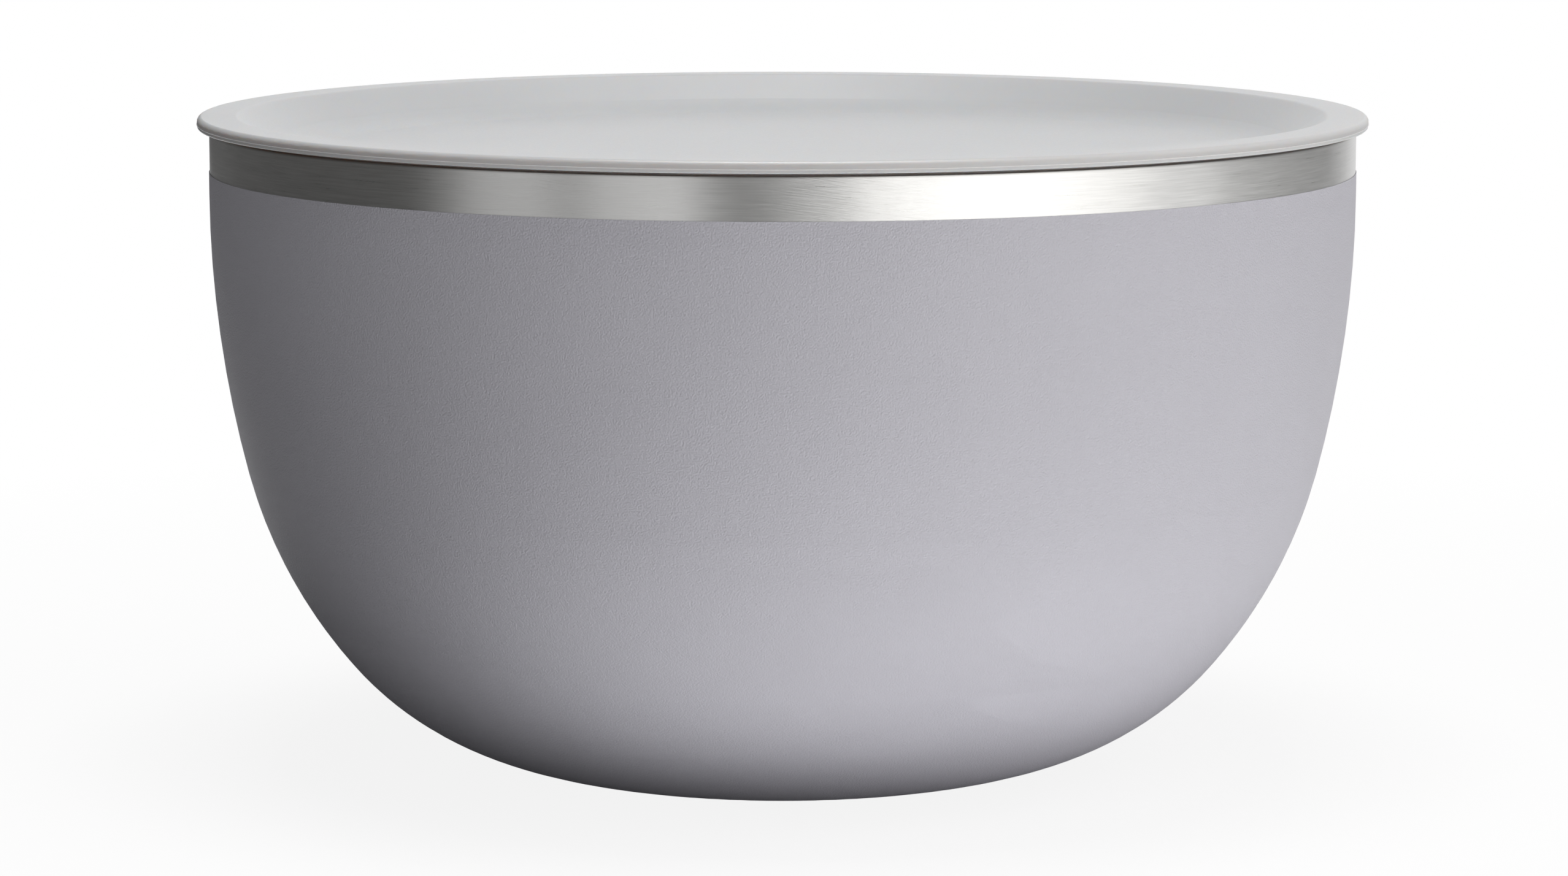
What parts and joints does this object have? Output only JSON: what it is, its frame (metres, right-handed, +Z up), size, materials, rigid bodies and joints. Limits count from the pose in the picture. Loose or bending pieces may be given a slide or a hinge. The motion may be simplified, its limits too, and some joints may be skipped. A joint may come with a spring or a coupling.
{
  "type": "insulated bowl with lid",
  "caption": "Vacuum-insulated bowl of drawn steel with a textured coat, a bare brushed band at the lip, and a lift-off plastic lid with a sunken well and a gasket.",
  "frame": {"origin": "on the table under the middle of the base", "axes": "+Z up along the bowl's axis of revolution, +Y away from the viewer of the picture, +X to their right"},
  "size_m": [0.2654, 0.2654, 0.1486],
  "materials": {
    "shell_steel": "brushed round the bowl",
    "liner_steel": "satin, spun",
    "weld_steel": "ground flush",
    "coat": "textured powder coat",
    "foil": "bright foil",
    "getter": "sintered",
    "clip_steel": "bright strip",
    "solder_glass": "fired glass",
    "cap_steel": "turned",
    "bond": "cured adhesive",
    "lid_plastic": "fine moulded satin",
    "gasket": "silicone"
  },
  "bodies": {
    "bowl_body": {"outer_shell": "shell_steel", "inner_liner": "liner_steel", "rim_weld": "weld_steel", "powder_coat": "coat", "radiation_shield": "foil", "getter_tablet": "getter", "getter_clip": "clip_steel", "evacuation_seal": "solder_glass", "base_cap": "cap_steel", "cap_bond_ring": "bond"},
    "lid_body": {"lid": "lid_plastic", "lid_gasket": "gasket"}
  },
  "joints": [
    {"name": "lid_lift", "type": "slide", "parent": "bowl_body", "child": "lid_body", "axis": [0, 0, 1], "range_m": [0, 0.2]}
  ]
}
